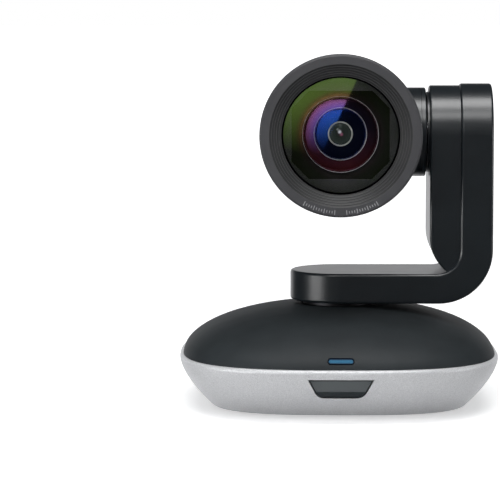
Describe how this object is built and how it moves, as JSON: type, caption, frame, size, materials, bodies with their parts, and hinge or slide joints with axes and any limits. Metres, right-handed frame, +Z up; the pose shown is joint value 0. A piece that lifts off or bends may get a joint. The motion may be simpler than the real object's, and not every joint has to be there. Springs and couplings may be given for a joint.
{
  "type": "ptz camera",
  "caption": "Desktop conference camera: a round zoom head on an L-shaped arm that pans on a low domed base and tilts the head.",
  "frame": {"origin": "on the standing surface, on the pan axis", "axes": "+Z up along the pan axis, the lens looks along -Y, +X is the side of the arm"},
  "size_m": [0.131, 0.13, 0.146],
  "materials": {
    "silver_shell": "satin silver",
    "black_cover": "satin black",
    "black_arm": "fine satin black",
    "bezel_grey": "fine matt dark grey",
    "baffle_black": "matt black",
    "cover_glass": "coated",
    "lens_glass": "coated",
    "light_blue": "clear",
    "smoke_window": "polished smoky",
    "black_plastic": "moulded",
    "foot_rubber": "matt",
    "screw_steel": "zinc plated",
    "bearing_steel": "ground",
    "insert_brass": "turned",
    "frame_aluminium": "pressed",
    "hub_black": "black anodised",
    "motor_steel": "drawn",
    "gear_white": "moulded acetal",
    "board_green": "solder mask",
    "chip_black": "moulded",
    "cable_black": "satin",
    "sensor_glass": "polished",
    "socket_metal": "plated"
  },
  "bodies": {
    "base": {"lower_shell": "silver_shell", "top_cover": "black_cover", "status_light_pipe": "light_blue", "ir_window": "smoke_window", "rear_panel": "black_plastic", "usb_socket": "socket_metal", "power_jack": "black_plastic", "lock_slot_plate": "screw_steel", "rubber_feet": "foot_rubber", "base_screws": "screw_steel", "tripod_insert": "insert_brass", "chassis_plate": "frame_aluminium", "main_board": "board_green", "main_board_chips": "chip_black", "front_board": "board_green", "ir_receiver": "chip_black", "pan_motor": "motor_steel", "pan_frame": "frame_aluminium", "pan_bearing_outer": "bearing_steel", "pan_bearing_balls": "bearing_steel", "pan_home_sensor": "black_plastic", "base_harness": "cable_black"},
    "pan_rotor": {"pan_pinion": "insert_brass"},
    "arm": {"pan_hub": "hub_black", "pan_gear": "gear_white", "pan_bearing_inner": "bearing_steel", "pan_retaining_ring": "screw_steel", "arm_outer_shell": "black_arm", "arm_inner_cover": "black_arm", "arm_bottom_cover": "black_arm", "arm_frame": "frame_aluminium", "arm_screws": "screw_steel", "tilt_motor": "motor_steel", "tilt_bearing_outer": "bearing_steel", "tilt_bearing_balls": "bearing_steel", "arm_harness": "cable_black"},
    "tilt_rotor": {"tilt_pinion": "insert_brass"},
    "head": {"lens_bezel": "bezel_grey", "head_barrel": "black_arm", "head_rear_cap": "black_arm", "tilt_collar": "black_arm", "tilt_shaft": "bearing_steel", "tilt_gear": "gear_white", "tilt_bearing_inner": "bearing_steel", "head_frame": "frame_aluminium", "head_screws": "screw_steel", "cover_glass": "cover_glass", "front_baffle": "baffle_black", "lens_block": "baffle_black", "lens_cell": "baffle_black", "lens_elements": "lens_glass", "aperture_stop": "baffle_black", "guide_rods": "bearing_steel", "lens_motors": "motor_steel", "image_sensor": "sensor_glass", "sensor_board": "board_green", "head_harness": "cable_black"},
    "zoom_group": {"zoom_carriage": "black_plastic"},
    "focus_group": {"focus_carriage": "black_plastic"},
    "zoom_screw": {"zoom_leadscrew": "bearing_steel"}
  },
  "joints": [
    {"name": "pan", "type": "hinge", "parent": "base", "child": "arm", "pos_m": [0, 0, 0.034], "axis": [0, 0, 1], "range_deg": [-130, 130]},
    {"name": "tilt", "type": "hinge", "parent": "arm", "child": "head", "pos_m": [0, 0, 0.1125], "axis": [-1, 0, 0], "range_deg": [-40, 90]},
    {"name": "pan_pinion_spin", "type": "hinge", "parent": "base", "child": "pan_rotor", "pos_m": [0, -0.027, 0.026], "axis": [0, 0, 1], "range_deg": [-520.5, 520.5]},
    {"name": "tilt_pinion_spin", "type": "hinge", "parent": "arm", "child": "tilt_rotor", "pos_m": [0.0586, 0, 0.093], "axis": [-1, 0, 0], "range_deg": [-300.5, 134]},
    {"name": "zoom_slide", "type": "slide", "parent": "head", "child": "zoom_group", "axis": [0, 1, 0], "range_m": [0, 0.01]},
    {"name": "focus_slide", "type": "slide", "parent": "head", "child": "focus_group", "axis": [0, 1, 0], "range_m": [0, 0.0055]},
    {"name": "zoom_screw_spin", "type": "hinge", "parent": "head", "child": "zoom_screw", "pos_m": [-0.0126, 0, 0.1025], "axis": [0, 1, 0], "range_deg": [-1, 1201]}
  ],
  "couplings": [
    {"joint": "pan_pinion_spin", "follows": "pan", "ratio": -4},
    {"joint": "tilt_pinion_spin", "follows": "tilt", "ratio": -3.3333},
    {"joint": "zoom_screw_spin", "follows": "zoom_slide", "rad_per_m": 2094.4}
  ]
}
